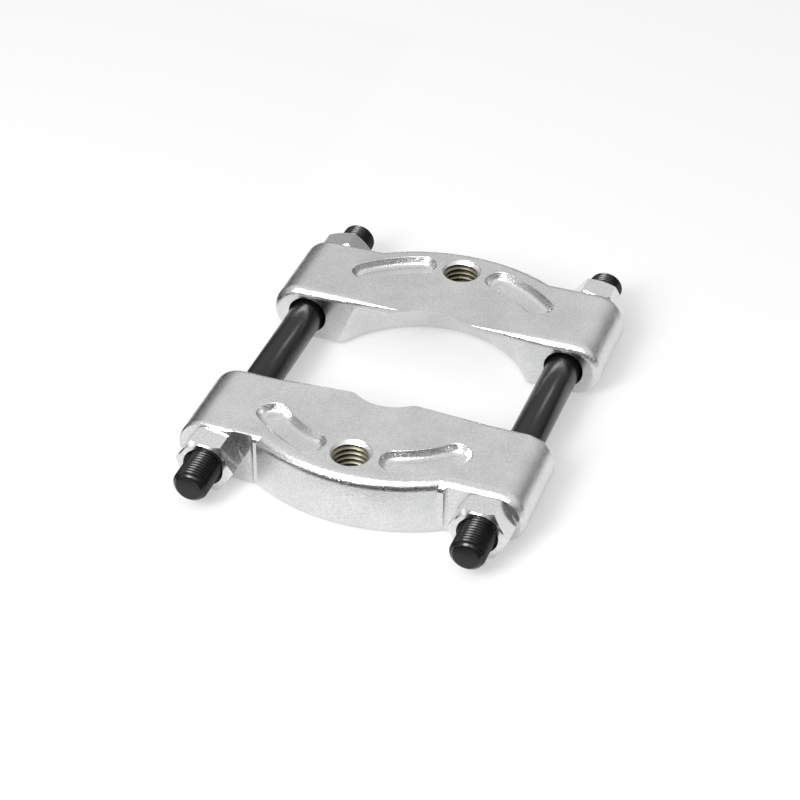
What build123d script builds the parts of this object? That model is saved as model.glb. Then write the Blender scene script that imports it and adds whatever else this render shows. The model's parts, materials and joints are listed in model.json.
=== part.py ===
"""Bearing separator: two forged half jaws drawn together by two studs and four nuts.

Frame: X runs along the jaws, from stud to stud.  Y runs along the studs, from the front jaw to
the rear jaw.  Z is up.  The origin is under the middle of the tool, on the plane that the jaws
stand on.  Sizes are millimetres.
"""
from build123d import *
from math import sqrt
import os

# ---- driving dimensions --------------------------------------------------------------------
LEFT, RIGHT = -1, 1

OPENING = 58.3  # gap between the two parting faces, as the tool is set
THICKNESS = 24.0  # height of a jaw
JAW_HALF_LENGTH = 70.0
JAW_DEPTH = 50.2  # parting face to the crown of the outer bulge
SPOT_FACE = {LEFT: 38.2, RIGHT: 40.5}  # parting face to the face that a nut bears on
BULGE_HALF_CHORD = 43.0  # the bulge runs this far out, into the bosses
BULGE_END = {LEFT: 35.4, RIGHT: 37.4}  # parting face to the two ends of the bulge's arc
BULGE_TOP_ROUND = 4.0
BULGE_BOTTOM_ROUND = 2.0

STUD_SPACING = 110.0
STUD_DIAMETER = 14.0  # M14 x 1.5
STUD_LENGTH = {LEFT: 184.0, RIGHT: 187.4}
STUD_TIP_LENGTH = 2.2
STUD_TIP_DROP = 1.8
STUD_TIP_ROUND = 0.5

NUT_ACROSS_FLATS = 20.7
NUT_HEIGHT = 11.0
NUT_BORE_RADIUS = 7.05
NUT_COUNTERSINK = 1.1
NUT_FACE_RATIO = 0.95  # bearing circle, as a part of the width across flats
NUT_FACE_DROP = 1.4  # height that the corner chamfer takes off a corner
NUTS = (  # name, side, way out along Y, degrees from +X to the first corner above it
    ("nut_front_left", LEFT, -1, -4.8),
    ("nut_front_right", RIGHT, -1, 0.3),
    ("nut_rear_left", LEFT, 1, 14.5),
    ("nut_rear_right", RIGHT, 1, -6.7),
)

BOSS_BORE_RADIUS = 7.8
BOSS_BORE_CHAMFER = 0.4
BOSS_PARTING_ROUND = 3.2
BOSS_OUTER_ROUND = {LEFT: 3.0, RIGHT: 5.0}
SPOT_FACE_DEPTH = 1.2  # metal that the spot facing took off the outer end of a boss
SPOT_FACE_START = 38.4
SPOT_FACE_CORNER = 1.5

BLADE_THICKNESS = 4.9
NOTCH_RADIUS = 18.0
NOTCH_HALF_CHORD = 12.0
NOTCH_CORNER = 5.0
NOTCH_BEVEL_SLOPE = 0.573  # 30 degrees
WALL_CENTRE = -20.2  # centre of the hollow's wall, measured outward from the parting face
WALL_RADIUS_TOP = 39.0
WALL_RADIUS_BOTTOM = 45.4
WALL_ROUND = 1.5
WALL_CORNER = 2.5  # where the wall runs out into the parting face

EDGE_ROUND_START = 16.0  # the parting edge is sharp from here inward
EDGE_ROUND_END = BULGE_HALF_CHORD  # and fully rounded from here outward
EDGE_ROUND_SMALL = 0.15

HOLE_DISTANCE = 35.8  # parting face to the axis of the tapped hole
HOLE_RADIUS = 7.94  # 5/8-11 UNC, major radius
HOLE_COUNTERSINK = 0.2

POCKET_CENTRE = -15.7  # centre of the pockets' arcs, measured outward from the parting face
POCKET_INNER_RADIUS = 47.0
POCKET_OUTER_RADIUS = 59.4
POCKET_START = 12.3  # degrees from the jaw's middle plane
POCKET_END = 50.4
POCKET_ROUND_INNER = 5.5
POCKET_ROUND_OUTER = 5.7
POCKET_DEPTH = 3.4
POCKET_DRAFT = 28.0
POCKET_FLOOR_ROUND = 2.2
POCKET_LIP_ROUND = 0.5

# ---- derived sizes -------------------------------------------------------------------------
AXIS_HEIGHT = THICKNESS / 2
STUD_X = STUD_SPACING / 2
BOSS_RADIUS = THICKNESS / 2
PARTING = OPENING / 2
NOTCH_CENTRE = -sqrt(NOTCH_RADIUS**2 - NOTCH_HALF_CHORD**2)
NUT_CORNER_RADIUS = NUT_ACROSS_FLATS / sqrt(3)


def across_plane(y):
    """A vertical plane across the studs: its own x is X, its own y is Z, its normal is +Y."""
    return Plane(origin=(0, y, 0), x_dir=(-1, 0, 0), z_dir=(0, 1, 0))


def half_bar(side):
    """One end boss and the bar that joins it to the other, with a full round end."""
    with BuildPart() as bar:
        with BuildSketch(across_plane(PARTING)):
            with Locations((0, AXIS_HEIGHT)):
                SlotOverall(2 * JAW_HALF_LENGTH, THICKNESS)
            with Locations((side * JAW_HALF_LENGTH, AXIS_HEIGHT)):
                Rectangle(2 * JAW_HALF_LENGTH, THICKNESS, mode=Mode.SUBTRACT)
        extrude(amount=SPOT_FACE[side] + SPOT_FACE_DEPTH)
        outline = bar.edges().filter_by(lambda e: abs(e.center().X) > 1).group_by(Axis.Y)
        fillet(outline[0], BOSS_PARTING_ROUND)
        outline = bar.edges().filter_by(lambda e: abs(e.center().X) > 1).group_by(Axis.Y)
        fillet(outline[-1], BOSS_OUTER_ROUND[side])
    return bar.part


def bulge_body():
    """The middle of the jaw, out to its bulging outer wall, sharp at the parting edge."""
    left = (-BULGE_HALF_CHORD, PARTING + BULGE_END[LEFT])
    right = (BULGE_HALF_CHORD, PARTING + BULGE_END[RIGHT])
    with BuildPart() as bulge:
        with BuildSketch(Plane.XY):
            with BuildLine():
                Polyline(
                    right, (BULGE_HALF_CHORD, PARTING), (-BULGE_HALF_CHORD, PARTING), left
                )
                ThreePointArc(left, (0, PARTING + JAW_DEPTH), right)
            make_face()
        extrude(amount=THICKNESS)
        arcs = bulge.edges().filter_by(GeomType.CIRCLE).sort_by(Axis.Z)
        fillet(arcs[-1], BULGE_TOP_ROUND)
        arcs = bulge.edges().filter_by(GeomType.CIRCLE).sort_by(Axis.Z)
        fillet(arcs[0], BULGE_BOTTOM_ROUND)
        lowest = bulge.edges().filter_by(Axis.X).group_by(Axis.Z)[0]
        fillet(lowest.sort_by(Axis.Y)[0], BOSS_PARTING_ROUND)
    return bulge.part


def spot_face_cutters():
    """The stock that the cutter took off the outer end of each boss."""
    with BuildPart() as cutters:
        for side in (LEFT, RIGHT):
            far = side * (JAW_HALF_LENGTH + 5)
            near = side * SPOT_FACE_START
            middle_y = PARTING + SPOT_FACE[side] + JAW_DEPTH / 2
            with BuildSketch(Plane.XY) as stock:
                with Locations(((near + far) / 2, middle_y)):
                    Rectangle(abs(far - near), JAW_DEPTH)
                corners = stock.vertices().group_by(Axis.Y)[0]
                fillet(corners.sort_by(Axis.X, reverse=side == LEFT)[0], SPOT_FACE_CORNER)
            extrude(amount=THICKNESS)
    return cutters.part


def edge_round_cutters():
    """Takes the parting edge from sharp, near the notch, to the bosses' round."""
    with BuildPart() as cutters:
        for side in (LEFT, RIGHT):
            stations = (
                (EDGE_ROUND_START, EDGE_ROUND_SMALL),
                (EDGE_ROUND_END, BOSS_PARTING_ROUND),
            )
            for x, radius in stations:
                plane = Plane(origin=(side * x, 0, 0), x_dir=(0, 1, 0), z_dir=(1, 0, 0))
                with BuildSketch(plane):
                    with BuildLine():
                        Polyline(
                            (PARTING, THICKNESS - radius),
                            (PARTING - 1, THICKNESS - radius),
                            (PARTING - 1, THICKNESS + 1),
                            (PARTING + radius, THICKNESS + 1),
                            (PARTING + radius, THICKNESS),
                        )
                        RadiusArc(
                            (PARTING + radius, THICKNESS),
                            (PARTING, THICKNESS - radius),
                            -radius,
                        )
                    make_face()
            loft(ruled=True)
    return cutters.part


def hollow():
    """The drafted round hollow under the blade, open at the parting face and underneath."""
    axis_y = PARTING + WALL_CENTRE
    blade_bottom = THICKNESS - BLADE_THICKNESS
    draft = (WALL_RADIUS_BOTTOM - WALL_RADIUS_TOP) / blade_bottom
    lip_radius = WALL_RADIUS_BOTTOM - draft * WALL_ROUND
    with BuildPart() as cut:
        with BuildSketch(Plane(origin=(0, axis_y, 0), x_dir=(1, 0, 0), z_dir=(0, -1, 0))) as side:
            with BuildLine():
                Polyline(
                    (WALL_RADIUS_BOTTOM + WALL_ROUND, 0),
                    (0, 0),
                    (0, blade_bottom),
                    (WALL_RADIUS_TOP, blade_bottom),
                    (lip_radius, WALL_ROUND),
                )
                RadiusArc(
                    (lip_radius, WALL_ROUND), (WALL_RADIUS_BOTTOM + WALL_ROUND, 0), WALL_ROUND
                )
            make_face()
            top = side.vertices().group_by(Axis.Y)[-1]
            fillet(top.sort_by(Axis.X)[-1], WALL_ROUND)
        revolve(axis=Axis((0, axis_y, 0), (0, 0, 1)))
    return cut.part


def notch():
    """The round notch in the blade, with the bevel that makes its upper edge a knife edge."""
    axis_y = PARTING + NOTCH_CENTRE
    reach = BLADE_THICKNESS / NOTCH_BEVEL_SLOPE
    with BuildPart() as cut:
        with BuildSketch(Plane.XY.offset(THICKNESS - BLADE_THICKNESS)) as outline:
            with Locations((0, axis_y)):
                Circle(NOTCH_RADIUS)
            with Locations((0, PARTING - NOTCH_RADIUS)):
                Rectangle(4 * NOTCH_RADIUS, 2 * NOTCH_RADIUS)
            corners = outline.vertices().filter_by(lambda v: abs(v.X) < NOTCH_HALF_CHORD + 1)
            fillet(corners, NOTCH_CORNER)
        extrude(amount=BLADE_THICKNESS)
        with Locations((0, axis_y, THICKNESS - BLADE_THICKNESS / 2)):
            Cone(NOTCH_RADIUS + reach, NOTCH_RADIUS, BLADE_THICKNESS)
    return cut.part


def pocket(side):
    """One kidney-shaped pocket in the top face, with sloping walls."""
    centre = (0, PARTING + POCKET_CENTRE)
    start = 90 - side * POCKET_START
    sweep = -side * (POCKET_END - POCKET_START)
    with BuildPart() as cut:
        with BuildSketch(Plane.XY.offset(THICKNESS)) as outline:
            with BuildLine():
                inner = CenterArc(centre, POCKET_INNER_RADIUS, start, sweep)
                outer = CenterArc(centre, POCKET_OUTER_RADIUS, start, sweep)
                Line(inner @ 0, outer @ 0)
                Line(inner @ 1, outer @ 1)
            make_face()
            ordered = outline.vertices().sort_by(Axis.X, reverse=side == LEFT)
            fillet(ordered[:2], POCKET_ROUND_INNER)
            ordered = outline.vertices().sort_by(Axis.X, reverse=side == LEFT)
            fillet(ordered[-2:], POCKET_ROUND_OUTER)
        extrude(amount=-POCKET_DEPTH, taper=POCKET_DRAFT)
        fillet(cut.edges().group_by(Axis.Z)[0], POCKET_FLOOR_ROUND)
    return cut.part


def is_circle_of(edge, radius):
    """True for a whole circle of this radius."""
    return edge.geom_type == GeomType.CIRCLE and edge.is_closed and abs(edge.radius - radius) < 0.01


def is_pocket_lip(edge):
    """True for the edges of the two pockets in the top face."""
    middle = edge.position_at(0.5)
    reach = sqrt(middle.X**2 + (middle.Y - PARTING - POCKET_CENTRE) ** 2)
    within = POCKET_INNER_RADIUS - 0.5 < reach < POCKET_OUTER_RADIUS + 0.5
    level = all(abs(edge.position_at(t).Z - THICKNESS) < 0.01 for t in (0, 0.5, 1))
    return level and within and 5 < abs(middle.X) < 50 and middle.Y > PARTING + 5


def is_wall_corner(edge):
    """True for the upright edges between the hollow's wall and the parting face."""
    ends = [edge.position_at(t) for t in (0, 0.5, 1)]
    on_face = all(abs(end.Y - PARTING) < 0.01 for end in ends)
    return on_face and 30 < abs(ends[1].X) < 43 and abs(ends[0].Z - ends[2].Z) > 10


def stud_solid(side):
    """One stud at its major diameter, with a chamfered and rounded tip at each end."""
    x = side * STUD_X
    half = STUD_LENGTH[side] / 2
    radius = STUD_DIAMETER / 2
    tip = radius - STUD_TIP_DROP
    with BuildPart() as stud:
        with BuildSketch(Plane(origin=(x, 0, AXIS_HEIGHT), x_dir=(1, 0, 0), z_dir=(0, 0, 1))):
            with BuildLine():
                outline = Polyline(
                    (0, -half),
                    (tip, -half),
                    (radius, STUD_TIP_LENGTH - half),
                    (radius, half - STUD_TIP_LENGTH),
                    (tip, half),
                    (0, half),
                    close=True,
                )
            make_face()
            fillet(
                [v for v in outline.vertices() if abs(abs(v.Y) - half) < 0.01 and v.X > x + 1],
                STUD_TIP_ROUND,
            )
        revolve(axis=Axis((x, 0, AXIS_HEIGHT), (0, 1, 0)))
    return stud.part


def nut_solid(side, outward, turn):
    """One hex nut on its spot face; turn is the angle of one corner above +X, in degrees."""
    x = side * STUD_X
    bearing_y = outward * (PARTING + SPOT_FACE[side])
    corner_edge = NUT_ACROSS_FLATS / 2 * NUT_FACE_RATIO
    with BuildPart() as nut:
        with BuildSketch(across_plane(bearing_y)):
            with Locations((-x, AXIS_HEIGHT)):
                RegularPolygon(NUT_CORNER_RADIUS, 6, rotation=180 - turn)
        extrude(amount=outward * NUT_HEIGHT)
        with BuildSketch(Plane(origin=(x, bearing_y, AXIS_HEIGHT), z_dir=(0, 0, 1))):
            Polygon(
                (0, 0),
                (corner_edge, 0),
                (NUT_CORNER_RADIUS, outward * NUT_FACE_DROP),
                (NUT_CORNER_RADIUS, outward * (NUT_HEIGHT - NUT_FACE_DROP)),
                (corner_edge, outward * NUT_HEIGHT),
                (0, outward * NUT_HEIGHT),
                align=None,
            )
        revolve(axis=Axis((x, 0, AXIS_HEIGHT), (0, 1, 0)), mode=Mode.INTERSECT)
        with BuildSketch(across_plane(bearing_y)):
            with Locations((-x, AXIS_HEIGHT)):
                Circle(NUT_BORE_RADIUS)
        extrude(amount=outward * NUT_HEIGHT, mode=Mode.SUBTRACT)
        mouths = nut.edges().filter_by(lambda e: is_circle_of(e, NUT_BORE_RADIUS))
        chamfer(mouths, NUT_COUNTERSINK)
    return nut.part


# ---- the eight pieces ----------------------------------------------------------------------
bars = [half_bar(LEFT), half_bar(RIGHT)]
bulge = bulge_body()
cuts = [
    edge_round_cutters(),
    spot_face_cutters(),
    hollow(),
    notch(),
    pocket(LEFT),
    pocket(RIGHT),
]

with BuildPart() as rear_jaw:
    add(bars)
    add(bulge)
    add(cuts, mode=Mode.SUBTRACT)
    with BuildSketch(across_plane(PARTING)):
        with Locations((-STUD_X, AXIS_HEIGHT), (STUD_X, AXIS_HEIGHT)):
            Circle(BOSS_BORE_RADIUS)
    extrude(amount=JAW_DEPTH, mode=Mode.SUBTRACT)
    mouths = rear_jaw.edges().filter_by(lambda e: is_circle_of(e, BOSS_BORE_RADIUS))
    chamfer(mouths, BOSS_BORE_CHAMFER)
    lips = rear_jaw.edges().filter_by(is_pocket_lip)
    fillet(lips, POCKET_LIP_ROUND)
    fillet(rear_jaw.edges().filter_by(is_wall_corner), WALL_CORNER)
    with Locations((0, PARTING + HOLE_DISTANCE, THICKNESS)):
        CounterSinkHole(
            HOLE_RADIUS, HOLE_RADIUS + HOLE_COUNTERSINK, THICKNESS, counter_sink_angle=90
        )
rear_jaw.part.label = "rear_jaw"

mirrored_jaw = rear_jaw.part.mirror(Plane.XZ)
with BuildPart() as front_jaw:
    add(mirrored_jaw)
front_jaw.part.label = "front_jaw"

left_stud = stud_solid(LEFT)
left_stud.label = "left_stud"
right_stud = stud_solid(RIGHT)
right_stud.label = "right_stud"

pieces = [rear_jaw.part, front_jaw.part, left_stud, right_stud]
for nut_name, side, outward, turn in NUTS:
    nut = nut_solid(side, outward, turn)
    nut.label = nut_name
    pieces.append(nut)

os.makedirs("parts", exist_ok=True)
for piece in pieces:
    export_step(piece, f"parts/{piece.label}.step")
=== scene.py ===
"""Looks for the bearing separator: plated half jaws, black threaded studs and hex nuts.

Everything is in metres in the CAD frame: X along the jaws, Y along the studs, Z up.  Places and
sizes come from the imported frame; the thread standards and the studio are named values here.
"""

import json
import math

import bmesh
import bpy
from mathutils import Matrix, Vector


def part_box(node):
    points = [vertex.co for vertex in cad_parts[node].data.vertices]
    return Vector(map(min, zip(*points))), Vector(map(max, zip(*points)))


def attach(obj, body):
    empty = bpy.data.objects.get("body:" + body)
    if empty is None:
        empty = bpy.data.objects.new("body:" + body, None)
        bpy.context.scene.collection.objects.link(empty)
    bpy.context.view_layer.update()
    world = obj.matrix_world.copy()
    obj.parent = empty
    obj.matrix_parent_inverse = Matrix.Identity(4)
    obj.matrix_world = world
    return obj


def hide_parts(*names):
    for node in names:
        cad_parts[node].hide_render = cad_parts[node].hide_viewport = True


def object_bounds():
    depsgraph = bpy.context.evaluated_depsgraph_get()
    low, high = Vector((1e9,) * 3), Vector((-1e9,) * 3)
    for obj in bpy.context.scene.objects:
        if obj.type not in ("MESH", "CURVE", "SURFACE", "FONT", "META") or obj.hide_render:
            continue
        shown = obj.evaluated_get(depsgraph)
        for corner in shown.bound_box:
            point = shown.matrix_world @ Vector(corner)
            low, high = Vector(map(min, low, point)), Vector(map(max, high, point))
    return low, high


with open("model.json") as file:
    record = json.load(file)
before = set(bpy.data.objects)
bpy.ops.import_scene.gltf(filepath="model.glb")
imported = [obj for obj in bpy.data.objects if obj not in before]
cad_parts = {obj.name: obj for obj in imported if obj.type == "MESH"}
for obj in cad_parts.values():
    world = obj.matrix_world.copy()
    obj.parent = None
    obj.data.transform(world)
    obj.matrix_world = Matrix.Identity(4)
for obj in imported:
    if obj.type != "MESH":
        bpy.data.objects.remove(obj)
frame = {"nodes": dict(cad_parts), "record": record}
cad_low, cad_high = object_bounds()

MM = 0.001

# ---- threads ---------------------------------------------------------------------------------
STUD_PITCH = 1.5 * MM
STUD_THREAD_DEPTH = 0.92 * MM
STUD_THREAD_SETBACK = 3.0 * MM  # the thread starts this far inside a jaw's bore
STUD_RUN_OUT = 2.2 * MM
STUD_TIP_RADIUS = 5.2 * MM
STUD_TIP_EASE = 0.35 * MM
HOLE_PITCH = 2.31 * MM  # 11 to the inch
HOLE_THREAD_DEPTH = 1.4 * MM
HOLE_WALL_GAP = 0.06 * MM  # the thread's roots and lower end stand clear of the CAD by this
HOLE_COUNTERSINK = 0.2 * MM
SLEEVE_WALL = 0.35 * MM
THREAD_SEGMENTS = 64
SPARE_TURNS = 2  # the rows run past both ends of a thread, and are clamped to it
MERGE_DISTANCE = 0.002 * MM
SHORTEST_EDGE = 0.001 * MM
SMOOTH_ANGLE = math.radians(32.0)

# Share of a pitch, and share of the full depth there; the crest is where the depth is 0.
THREAD_PROFILE = (
    (0.0, 1.0),
    (0.12, 1.05),
    (0.24, 1.0),
    (0.48, 0.12),
    (0.54, 0.02),
    (0.60, 0.0),
    (0.66, 0.02),
    (0.72, 0.12),
)

# The rings that close a stud's end: how far back from the tip, and how much wider than the tip
# radius, both as shares of the ease.
STUD_TIP_RINGS = ((0.3, 0.05), (0.0, -0.7), (0.0, -1.0))


def profile_depth(phase):
    """The depth share at a phase from 0 to 1 round the pitch."""
    root = THREAD_PROFILE[0][1]
    points = THREAD_PROFILE + ((1.0, root),)
    for (left, low), (right, high) in zip(points, points[1:]):
        if left <= phase <= right:
            return low + (high - low) * (phase - left) / (right - left)
    return root


def thread_rows(bm, place, length, pitch, radius_at):
    """Adds a right-hand helical surface of a length and returns its two end rings.

    place(angle, s, radius) gives a point; radius_at(s, depth_share) gives the radius.
    """
    steps = len(THREAD_PROFILE)
    turns = math.ceil(length / pitch) + SPARE_TURNS
    columns = []
    for j in range(THREAD_SEGMENTS):
        angle = math.tau * j / THREAD_SEGMENTS
        column = []
        for turn in range(-SPARE_TURNS, turns + 1):
            for share, _ in THREAD_PROFILE:
                s = (turn + share + j / THREAD_SEGMENTS) * pitch
                s = min(max(s, 0.0), length)
                phase = (s / pitch - j / THREAD_SEGMENTS) % 1.0
                radius = radius_at(s, profile_depth(phase))
                column.append(bm.verts.new(place(angle, s, radius)))
        columns.append(column)
    for j in range(THREAD_SEGMENTS):
        here = columns[j]
        wraps = j == THREAD_SEGMENTS - 1
        there = columns[0][steps:] if wraps else columns[j + 1]
        for row in range(min(len(here), len(there)) - 1):
            bm.faces.new((here[row], here[row + 1], there[row + 1], there[row]))
    first = [column[0] for column in columns]
    last = [column[-1] for column in columns]
    return first, last


def ring(bm, place, s, radius):
    """One plain ring of vertices."""
    return [
        bm.verts.new(place(math.tau * j / THREAD_SEGMENTS, s, radius))
        for j in range(THREAD_SEGMENTS)
    ]


def bridge(bm, lower, upper):
    """Faces between two rings of the same count."""
    for j in range(THREAD_SEGMENTS):
        k = (j + 1) % THREAD_SEGMENTS
        bm.faces.new((lower[j], upper[j], upper[k], lower[k]))


def finish_mesh(bm, name, body, node=None):
    """Cleans the mesh, makes the object and rides it on its body, in place of a node if given."""
    bmesh.ops.remove_doubles(bm, verts=bm.verts, dist=MERGE_DISTANCE)
    bmesh.ops.dissolve_degenerate(bm, edges=bm.edges, dist=SHORTEST_EDGE)
    bmesh.ops.recalc_face_normals(bm, faces=bm.faces)
    mesh = bpy.data.meshes.new(name)
    bm.to_mesh(mesh)
    bm.free()
    mesh.shade_smooth()
    mesh.set_sharp_from_angle(angle=SMOOTH_ANGLE)
    obj = bpy.data.objects.new(name, mesh)
    bpy.context.scene.collection.objects.link(obj)
    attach(obj, body)
    if node:
        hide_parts(node)
    return obj


def threaded_stud(node, name, front_start, rear_start):
    """The stud with its two real threads, in place of the plain CAD cylinder."""
    low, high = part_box(node)
    centre = (low + high) / 2
    radius = (high.x - low.x) / 2
    bm = bmesh.new()

    def threaded_end(start, tip, way):
        """One end, from the shank at start to the tip; way is +1 or -1 along Y."""
        length = abs(tip - start)

        def place(angle, s, r):
            return Vector((
                centre.x + way * r * math.sin(angle),
                start + way * s,
                centre.z + r * math.cos(angle),
            ))

        def radius_at(s, depth):
            fade = min(1.0, s / STUD_RUN_OUT)
            thread = radius - depth * STUD_THREAD_DEPTH * fade
            chamfer = STUD_TIP_RADIUS + (length - s)
            return min(thread, chamfer)

        first, last = thread_rows(bm, place, length - STUD_TIP_EASE, STUD_PITCH, radius_at)
        rings = [last]
        for back, wider in STUD_TIP_RINGS:
            s = length - STUD_TIP_EASE * back
            rings.append(ring(bm, place, s, STUD_TIP_RADIUS + STUD_TIP_EASE * wider))
        for lower, upper in zip(rings, rings[1:]):
            bridge(bm, lower, upper)
        bm.faces.new(rings[-1])
        return first

    rear = threaded_end(rear_start, high.y, 1)
    front = threaded_end(front_start, low.y, -1)
    opposite = [front[-j % THREAD_SEGMENTS] for j in range(THREAD_SEGMENTS)]
    bridge(bm, opposite, rear)
    return finish_mesh(bm, name, "studs", node)


def tapped_hole(mount, jaw):
    """A closed threaded sleeve with a countersunk mouth, inside the jaw's plain hole."""
    low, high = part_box(jaw)
    wall = mount["dims"]["r_mm"] * MM
    x, y, _ = mount["pos_m"]
    root = wall - HOLE_WALL_GAP
    top = high.z - HOLE_COUNTERSINK
    bottom = low.z + HOLE_WALL_GAP
    length = top - bottom

    def place(angle, s, r):
        return Vector((x + r * math.cos(angle), y + r * math.sin(angle), bottom + s))

    def radius_at(s, depth):
        crest = root - (1.0 - depth) * HOLE_THREAD_DEPTH
        mouth = wall - min(length - s, s)
        return min(max(crest, mouth), root)

    bm = bmesh.new()
    first, last = thread_rows(bm, place, length, HOLE_PITCH, radius_at)
    outside_low = ring(bm, place, 0.0, wall + SLEEVE_WALL)
    outside_high = ring(bm, place, length, wall + SLEEVE_WALL)
    bridge(bm, outside_low, first)
    bridge(bm, last, outside_high)
    bridge(bm, outside_high, outside_low)
    sleeve = finish_mesh(bm, mount["name"] + "_thread", jaw)
    return sleeve


# ---- materials -------------------------------------------------------------------------------
DULL_PLATE = (0.59, 0.595, 0.60, 1.0)
BRIGHT_PLATE = (0.77, 0.77, 0.765, 1.0)
DULL_NUT_PLATE = (0.66, 0.665, 0.67, 1.0)
BRIGHT_NUT_PLATE = (0.78, 0.78, 0.775, 1.0)
BLACK_OXIDE = (0.004, 0.004, 0.0045, 1.0)
# Painted shade inside the tapped holes: the thread's darker, warmer colours below the mouth.
DARK_SHADED_THREAD = (0.15, 0.14, 0.095, 1.0)
PALE_SHADED_THREAD = (0.34, 0.32, 0.24, 1.0)
MOUTH_STEEL = (0.75, 0.75, 0.74, 1.0)
FLOOR_GREY = (0.36, 0.36, 0.36, 1.0)
CARD_BLACK = (0.02, 0.02, 0.02, 1.0)
WHITE = (1.0, 1.0, 1.0, 1.0)
FLOOR_GLOW = 0.42

# The plate is flat on the ground top and bottom, and on the faced ends of the bosses.
GROUND_TILT = (0.975, 0.998)  # Z of the normal: where the ground faces begin, and are full
FACED_TILT = (0.996, 0.999)  # Y of the normal, in the same way
FACED_FROM = (35.0 * MM, 35.5 * MM)  # distance from the middle plane, in the same way
FLAT_SKIN = 0.15  # share of the coarse relief that stays on the flat faces
FLAT_GRAIN = 0.17  # share of the fine relief that stays on the flat faces
SKIN_RELIEF = 0.03 * MM
GRAIN_RELIEF = 0.12 * MM
SCUFF_RELIEF = 0.01 * MM
OXIDE_RELIEF = 0.03 * MM
MOUTH_DEPTH = (2.0 * MM, 1.0 * MM)  # below the top: where the painted shade down the hole is full, and ends


class Shader:
    """A material under construction: short calls for its nodes and links."""

    def __init__(self, name):
        self.material = bpy.data.materials.new(name)
        self.material.use_nodes = True
        self.tree = self.material.node_tree
        self.bsdf = self.tree.nodes["Principled BSDF"]
        self.where = self.add("ShaderNodeTexCoord").outputs["Object"]

    def add(self, kind, **settings):
        """A node with its plain settings."""
        node = self.tree.nodes.new(kind)
        for key, value in settings.items():
            setattr(node, key, value)
        return node

    def wire(self, node, socket, source):
        """Links a socket, or sets its value."""
        target = node.inputs[socket]
        if isinstance(source, bpy.types.NodeSocket):
            self.tree.links.new(source, target)
        else:
            target.default_value = source

    def math(self, operation, first, second=0.0, third=0.0):
        """A math node's result."""
        node = self.add("ShaderNodeMath", operation=operation)
        for i, source in enumerate((first, second, third)):
            self.wire(node, i, source)
        return node.outputs[0]

    def noise(self, scale, detail, roughness=0.5):
        """Noise from about 0 to 1; scale is features per metre."""
        node = self.add("ShaderNodeTexNoise")
        self.wire(node, "Vector", self.where)
        self.wire(node, "Scale", scale)
        self.wire(node, "Detail", detail)
        self.wire(node, "Roughness", roughness)
        return node.outputs["Fac"]

    def span(self, value, low, high, to_low=0.0, to_high=1.0):
        """Maps low..high to to_low..to_high, clamped."""
        node = self.add("ShaderNodeMapRange")
        for socket, source in zip(
            ("Value", "From Min", "From Max", "To Min", "To Max"),
            (value, low, high, to_low, to_high),
        ):
            self.wire(node, socket, source)
        return node.outputs["Result"]

    def split(self, vector):
        """X, Y and Z of a vector."""
        node = self.add("ShaderNodeSeparateXYZ")
        self.wire(node, 0, vector)
        return node.outputs[0], node.outputs[1], node.outputs[2]

    def normal(self):
        """X, Y and Z of the surface's normal, in the object's own frame."""
        return self.split(self.add("ShaderNodeTexCoord").outputs["Normal"])

    def blend(self, share, first, second):
        """Colour first where share is 0, second where it is 1."""
        node = self.add("ShaderNodeMix", data_type="RGBA")
        self.wire(node, 0, share)
        self.wire(node, 6, first)
        self.wire(node, 7, second)
        return node.outputs[2]

    def bump(self, height, distance, strength=1.0, under=None):
        """A bump whose full height is distance metres, on top of another if given."""
        node = self.add("ShaderNodeBump")
        self.wire(node, "Height", height)
        self.wire(node, "Distance", distance)
        self.wire(node, "Strength", strength)
        if under:
            self.wire(node, "Normal", under)
        return node.outputs["Normal"]

    def set(self, **sockets):
        """Sets the surface's sockets; an underscore stands for a space in a name."""
        for key, value in sockets.items():
            self.wire(self.bsdf, key.replace("_", " "), value)


def plated_jaw_material():
    """Satin plate over a forging: an even grain, flatter on the ground and faced surfaces."""
    s = Shader("plated_jaw")
    _, along, up = s.normal()
    across, _, _ = s.split(s.where)
    ground = s.span(s.math("ABSOLUTE", up), *GROUND_TILT)
    facing = s.span(s.math("ABSOLUTE", along), *FACED_TILT)
    outside = s.span(s.math("ABSOLUTE", across), *FACED_FROM)
    faced = s.math("MULTIPLY", facing, outside)
    flat = s.math("MAXIMUM", ground, faced)
    grain = s.noise(scale=2100.0, detail=1.0)
    skin = s.noise(scale=500.0, detail=2.0)
    cloud = s.noise(scale=60.0, detail=3.0)
    tone = s.math("MULTIPLY_ADD", cloud, 0.08, s.math("MULTIPLY", grain, 0.12))
    colour = s.blend(s.span(tone, 0.075, 0.125), DULL_PLATE, BRIGHT_PLATE)
    sheen = s.span(ground, 0.0, 1.0, to_low=0.15, to_high=0.24)
    roughness = s.math("MULTIPLY_ADD", grain, 0.10, sheen)
    skin_height = s.math("MULTIPLY", skin, s.span(flat, 0.0, 1.0, 1.0, FLAT_SKIN))
    grain_height = s.math("MULTIPLY", grain, s.span(flat, 0.0, 1.0, 1.0, FLAT_GRAIN))
    coarse = s.bump(skin_height, SKIN_RELIEF)
    fine = s.bump(grain_height, GRAIN_RELIEF, under=coarse)
    s.set(Base_Color=colour, Metallic=1.0, Roughness=roughness, Normal=fine)
    return s.material


def plated_nut_material():
    """Bright plate on a machined nut, with faint scuffs."""
    s = Shader("plated_nut")
    scuff = s.noise(scale=900.0, detail=3.0, roughness=0.6)
    colour = s.blend(s.span(scuff, 0.35, 0.65), DULL_NUT_PLATE, BRIGHT_NUT_PLATE)
    roughness = s.span(scuff, 0.3, 0.7, to_low=0.15, to_high=0.24)
    fine = s.bump(scuff, SCUFF_RELIEF, strength=0.5)
    s.set(Base_Color=colour, Metallic=1.0, Roughness=roughness, Normal=fine)
    return s.material


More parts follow.
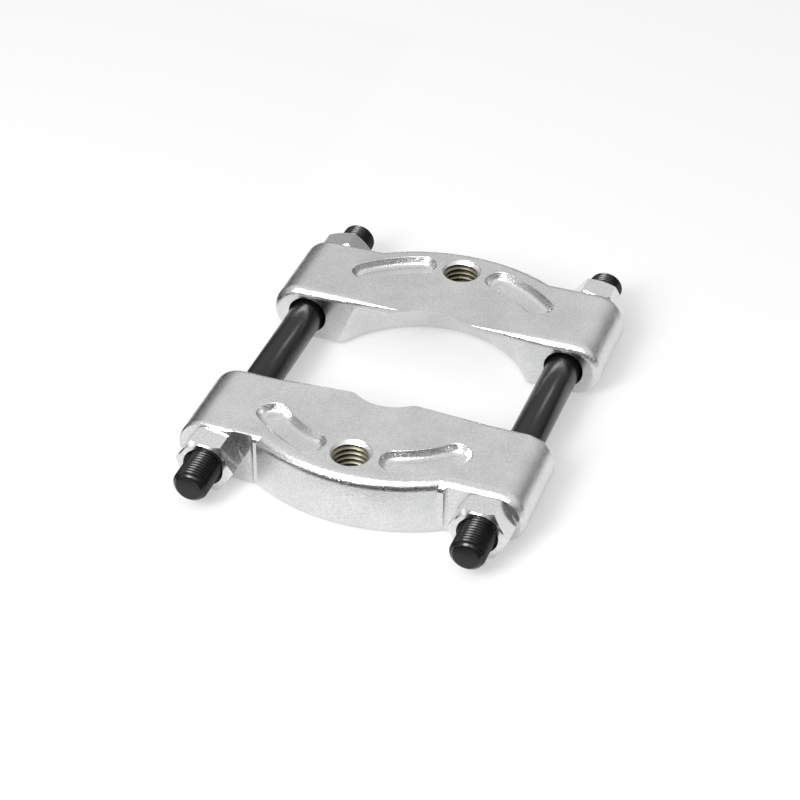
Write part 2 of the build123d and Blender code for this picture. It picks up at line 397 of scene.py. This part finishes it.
def black_stud_material():
    """Black oxide on steel: near black, with a soft sheen."""
    s = Shader("black_stud")
    mottle = s.noise(scale=500.0, detail=3.0, roughness=0.55)
    roughness = s.span(mottle, 0.3, 0.7, to_low=0.20, to_high=0.26)
    grit = s.noise(scale=1800.0, detail=2.0, roughness=0.6)
    s.set(
        Base_Color=BLACK_OXIDE,
        Metallic=0.0,
        Roughness=roughness,
        Specular_IOR_Level=0.42,
        Normal=s.bump(grit, OXIDE_RELIEF, strength=0.6),
    )
    return s.material


def tapped_thread_material():
    """Thread cut into the jaw: bright at the mouth, with painted shade inside: darker and warmer
    down the hole.
    """
    s = Shader("tapped_thread")
    _, _, height = s.split(s.where)
    inside, mouth = (cad_high.z - depth for depth in MOUTH_DEPTH)
    # painted shade: the thread's colour darkens from the mouth down into the hole
    hole_shade = s.span(height, inside, mouth, to_low=1.0, to_high=0.0)
    grime = s.noise(scale=900.0, detail=3.0, roughness=0.6)
    shaded_thread = s.blend(grime, DARK_SHADED_THREAD, PALE_SHADED_THREAD)
    colour = s.blend(hole_shade, MOUTH_STEEL, shaded_thread)
    roughness = s.span(grime, 0.3, 0.7, to_low=0.25, to_high=0.4)
    s.set(Base_Color=colour, Metallic=1.0, Roughness=roughness)
    return s.material


def floor_material():
    """Plain pale paper."""
    s = Shader("studio_floor")
    s.set(
        Base_Color=FLOOR_GREY,
        Roughness=0.9,
        Emission_Color=WHITE,
        Emission_Strength=FLOOR_GLOW,
    )
    return s.material


def card_material(name):
    """Matt black card."""
    s = Shader(name)
    s.set(Base_Color=CARD_BLACK, Roughness=1.0, Specular_IOR_Level=0.0)
    return s.material


# ---- the pieces ------------------------------------------------------------------------------
jaw_material = plated_jaw_material()
nut_material = plated_nut_material()
stud_material = black_stud_material()
thread_material = tapped_thread_material()


def dress(obj, material):
    """Gives the whole object one material."""
    obj.data.materials.clear()
    obj.data.materials.append(material)


front_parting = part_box("front_jaw")[1].y
rear_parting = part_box("rear_jaw")[0].y
studs = []
for side in ("left", "right"):
    stud = threaded_stud(
        side + "_stud",
        side + "_threaded_stud",
        front_parting - STUD_THREAD_SETBACK,
        rear_parting + STUD_THREAD_SETBACK,
    )
    dress(stud, stud_material)
    studs.append(stud)

mounts = {mount["name"]: mount for mount in frame["record"]["mounts"]}
for end in ("front", "rear"):
    jaw = end + "_jaw"
    sleeve = tapped_hole(mounts[end + "_puller_hole"], jaw)
    dress(sleeve, thread_material)
    dress(frame["nodes"][jaw], jaw_material)
    for side in ("left", "right"):
        dress(frame["nodes"][f"nut_{end}_{side}"], nut_material)

# ---- studio ----------------------------------------------------------------------------------
CAMERA_TARGET = Vector((2.47, -17.68, 16.0)) * MM
CAMERA_DISTANCE = 0.9303
CAMERA_AZIMUTH = math.radians(19.468)
CAMERA_ELEVATION = math.radians(36.878)
CAMERA_ROLL = math.radians(0.46)
CAMERA_LENS = 107.3
CAMERA_SENSOR = 36.0
CAMERA_CLIP = (0.01, 50.0)
FLOOR_RADIUS = 6.0
FLOOR_SEGMENTS = 96
FLOOR_DROP = 0.2 * MM
CARD_LENGTH = 0.5
CARD_WIDTH = 0.35
CARD_GAP = 0.03
LEFT_CARD_Y = 0.05
SOFTBOX_DISTANCE = 1.6
FRONT_SPREAD = (-0.85, -0.35)  # Y of a direction: fully in front, and no longer in front

# Name, azimuth and elevation in degrees, width and height in metres, power in watts.
SOFTBOXES = (
    ("key", -5.0, 52.0, 1.5, 1.15, 14.0),
    ("core", -20.0, 38.0, 0.55, 0.7, 24.0),
    ("front_left", -48.0, 12.0, 0.5, 0.4, 0.9),
)
STUD_STRIP = ("back_strip", 166.0, 39.0, 0.22, 0.4, 1.2)

# Z of a direction, and the surround's brightness there.
SURROUND = (
    (-1.0, 0.80),
    (-0.05, 0.12),
    (0.10, 0.08),
    (0.28, 0.40),
    (0.75, 1.04),
    (1.0, 0.80),
)
SURROUND_IN_FRONT = (
    (-1.0, 0.80),
    (-0.05, 0.08),
    (0.10, 0.04),
    (0.36, 0.05),
    (0.46, 0.70),
    (1.0, 0.86),
)


def make_camera():
    """The photograph's viewpoint."""
    azimuth, elevation = CAMERA_AZIMUTH, CAMERA_ELEVATION
    back = Vector((
        math.sin(azimuth) * math.cos(elevation),
        -math.cos(azimuth) * math.cos(elevation),
        math.sin(elevation),
    ))
    right = Vector((math.cos(azimuth), math.sin(azimuth), 0.0))
    up = back.cross(right)
    rolled_right = math.cos(CAMERA_ROLL) * right + math.sin(CAMERA_ROLL) * up
    rolled_up = back.cross(rolled_right)
    data = bpy.data.cameras.new("camera")
    data.lens = CAMERA_LENS
    data.sensor_width = CAMERA_SENSOR
    data.clip_start, data.clip_end = CAMERA_CLIP
    camera = bpy.data.objects.new("camera", data)
    turn = Matrix((rolled_right, rolled_up, back)).transposed().to_4x4()
    camera.matrix_world = Matrix.Translation(CAMERA_TARGET + back * CAMERA_DISTANCE) @ turn
    bpy.context.scene.collection.objects.link(camera)
    bpy.context.scene.camera = camera


def softbox(name, azimuth, elevation, width, height, power):
    """A rectangular area light that faces the tool; azimuth 0 is in front, 90 to the right."""
    a, e = math.radians(azimuth), math.radians(elevation)
    way = Vector((math.sin(a) * math.cos(e), -math.cos(a) * math.cos(e), math.sin(e)))
    data = bpy.data.lights.new(name, "AREA")
    data.shape = "RECTANGLE"
    data.size = width
    data.size_y = height
    data.energy = power
    light = bpy.data.objects.new(name, data)
    light.location = way * SOFTBOX_DISTANCE
    light.rotation_mode = "QUATERNION"
    light.rotation_quaternion = way.to_track_quat("Z", "Y")
    bpy.context.scene.collection.objects.link(light)
    return light


def make_lights():
    """The softboxes, and a strip behind that lights the black studs alone."""
    for box in SOFTBOXES:
        softbox(*box)
    strip = softbox(*STUD_STRIP)
    black_pieces = bpy.data.collections.new("black_pieces")
    for stud in studs:
        black_pieces.objects.link(stud)
    strip.light_linking.receiver_collection = black_pieces


def make_world():
    """A plain surround: brightness by height above the horizon, with its own run in front."""
    world = bpy.data.worlds.new("surround")
    world.use_nodes = True
    tree = world.node_tree
    coordinates = tree.nodes.new("ShaderNodeTexCoord")
    split = tree.nodes.new("ShaderNodeSeparateXYZ")
    tree.links.new(coordinates.outputs["Generated"], split.inputs[0])

    def ranged(axis, low, high, interpolation):
        node = tree.nodes.new("ShaderNodeMapRange")
        node.interpolation_type = interpolation
        node.inputs["From Min"].default_value = low
        node.inputs["From Max"].default_value = high
        tree.links.new(split.outputs[axis], node.inputs["Value"])
        return node.outputs["Result"]

    height = ranged("Z", -1.0, 1.0, "LINEAR")
    mix = tree.nodes.new("ShaderNodeMix")
    mix.data_type = "RGBA"
    tree.links.new(ranged("Y", *FRONT_SPREAD, "SMOOTHSTEP"), mix.inputs[0])
    for socket, stops in ((7, SURROUND), (6, SURROUND_IN_FRONT)):
        ramp = tree.nodes.new("ShaderNodeValToRGB")
        elements = ramp.color_ramp.elements
        while len(elements) < len(stops):
            elements.new(0.5)
        for element, (level, grey) in zip(elements, stops):
            element.position = (level + 1.0) / 2.0
            element.color = (grey, grey, grey, 1.0)
        tree.links.new(height, ramp.inputs["Fac"])
        tree.links.new(ramp.outputs["Color"], mix.inputs[socket])
    tree.links.new(mix.outputs[2], tree.nodes["Background"].inputs["Color"])
    bpy.context.scene.world = world


def studio_object(bm, name, material):
    """An object of the studio, from its mesh under construction."""
    mesh = bpy.data.meshes.new(name)
    bm.to_mesh(mesh)
    bm.free()
    obj = bpy.data.objects.new(name, mesh)
    bpy.context.scene.collection.objects.link(obj)
    dress(obj, material)
    return obj


def make_floor():
    """A wide pale floor just under the jaws."""
    bm = bmesh.new()
    bmesh.ops.create_circle(bm, cap_ends=True, segments=FLOOR_SEGMENTS, radius=FLOOR_RADIUS)
    floor = studio_object(bm, "floor", floor_material())
    floor.location.z = cad_low.z - FLOOR_DROP


def make_card(name, x, y, width, depth):
    """A dark card lying on the floor, which only reflections see."""
    bm = bmesh.new()
    bmesh.ops.create_grid(bm, x_segments=1, y_segments=1, size=0.5)  # a square of side 1
    card = studio_object(bm, name, card_material(name))
    card.scale = (width, depth, 1.0)
    card.location = (x, y, cad_low.z)
    card.visible_camera = False
    card.visible_diffuse = False
    card.visible_shadow = False
    card.visible_transmission = False


def make_cards():
    """One card in front of the tool and one to its left."""
    front_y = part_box("front_jaw")[0].y - CARD_GAP - CARD_WIDTH / 2
    left_x = cad_low.x - CARD_GAP - CARD_WIDTH / 2
    make_card("front_flag", 0.0, front_y, CARD_LENGTH, CARD_WIDTH)
    make_card("left_flag", left_x, LEFT_CARD_Y, CARD_WIDTH, CARD_LENGTH)


make_camera()
make_floor()
make_world()
make_lights()
make_cards()
bpy.context.scene.view_settings.view_transform = "Standard"
